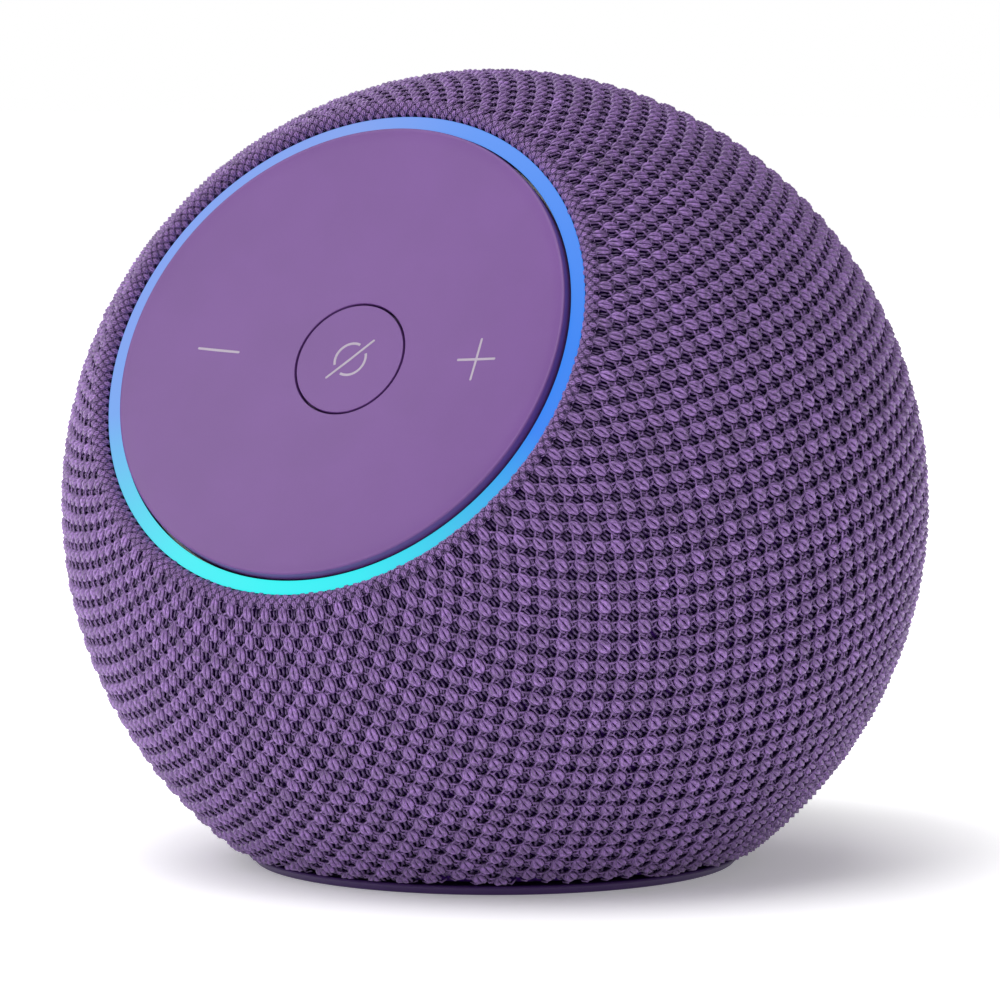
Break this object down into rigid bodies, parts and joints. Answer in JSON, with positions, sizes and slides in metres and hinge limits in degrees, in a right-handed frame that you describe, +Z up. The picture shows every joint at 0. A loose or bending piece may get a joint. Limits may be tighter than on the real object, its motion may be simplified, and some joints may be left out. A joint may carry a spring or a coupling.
{
  "type": "smart speaker",
  "caption": "Ball-shaped tabletop speaker in a knitted cover, with a dished control disc set in a ring of light and a flat foot.",
  "frame": {"origin": "under the ball's centre, on the table that the foot stands on", "axes": "+Z up, -Y to the front where the control disc faces, +X to the right seen from the front"},
  "size_m": [0.1086, 0.1081, 0.0993],
  "materials": {
    "yarn": "chunky two-strand knit of matt yarn",
    "purple_plastic": "satin moulded plastic with a very fine grain",
    "dark_plastic": "dark moulded plastic",
    "light_diffuser": "glowing milky light guide",
    "white_plastic": "white reflective plastic",
    "circuit_board": "solder-masked circuit board",
    "flex_film": "amber polyimide film",
    "black_chip": "black moulded component",
    "zinc_steel": "zinc-plated steel",
    "aluminium": "plain aluminium sheet",
    "ferrite": "sintered ferrite",
    "surround_rubber": "soft rubber",
    "cone_paper": "pressed paper pulp",
    "spider_cloth": "resin-stiffened cloth",
    "copper_coil": "enamelled copper wire"
  },
  "bodies": {
    "speaker": {"knit_cover": "yarn", "control_disc": "purple_plastic", "foot_ring": "purple_plastic", "button_guide": "dark_plastic", "cover_retainer": "dark_plastic", "control_frame": "dark_plastic", "front_shell": "dark_plastic", "rear_shell": "dark_plastic", "baffle": "dark_plastic", "tweeter_housing": "dark_plastic", "tweeter_bracket": "dark_plastic", "chassis": "dark_plastic", "power_jack": "dark_plastic", "port_plate": "dark_plastic", "base_plate": "dark_plastic", "light_ring": "light_diffuser", "light_tray": "white_plastic", "ring_led_1": "white_plastic", "ring_led_2": "white_plastic", "ring_led_3": "white_plastic", "ring_led_4": "white_plastic", "ring_led_5": "white_plastic", "ring_led_6": "white_plastic", "ring_led_7": "white_plastic", "ring_led_8": "white_plastic", "control_board": "circuit_board", "main_board": "circuit_board", "touch_film": "flex_film", "ribbon_cable": "flex_film", "mute_switch": "black_chip", "microphone_1": "zinc_steel", "microphone_2": "zinc_steel", "woofer_basket": "zinc_steel", "woofer_top_plate": "zinc_steel", "woofer_yoke": "zinc_steel", "power_pin": "zinc_steel", "control_screw_1": "zinc_steel", "control_screw_2": "zinc_steel", "control_screw_3": "zinc_steel", "woofer_screw_1": "zinc_steel", "woofer_screw_2": "zinc_steel", "woofer_screw_3": "zinc_steel", "woofer_screw_4": "zinc_steel", "board_screw_1": "zinc_steel", "board_screw_2": "zinc_steel", "base_screw_1": "zinc_steel", "base_screw_2": "zinc_steel", "base_screw_3": "zinc_steel", "heat_spreader": "aluminium", "shield_can": "aluminium", "woofer_magnet": "ferrite", "tweeter_magnet": "ferrite", "woofer_surround": "surround_rubber", "woofer_spider": "spider_cloth"},
    "mute_button_body": {"mute_button": "purple_plastic"},
    "woofer_cone_body": {"woofer_cone": "cone_paper", "woofer_dust_cap": "cone_paper", "woofer_voice_coil": "copper_coil"},
    "tweeter_dome_body": {"tweeter_dome": "aluminium"}
  },
  "joints": [
    {"name": "mute_button_press", "type": "slide", "parent": "speaker", "child": "mute_button_body", "axis": [0, 0.866, -0.5], "range_m": [0, 0.0006], "stiffness_N_per_m": 2500, "springref_m": -0.0003},
    {"name": "woofer_cone_travel", "type": "slide", "parent": "speaker", "child": "woofer_cone_body", "axis": [0, -1, 0], "range_m": [-0.002, 0.002], "stiffness_N_per_m": 1500},
    {"name": "tweeter_dome_travel", "type": "slide", "parent": "speaker", "child": "tweeter_dome_body", "axis": [0, -0.788, -0.6157], "range_m": [-0.00025, 0.00025], "stiffness_N_per_m": 6000}
  ]
}
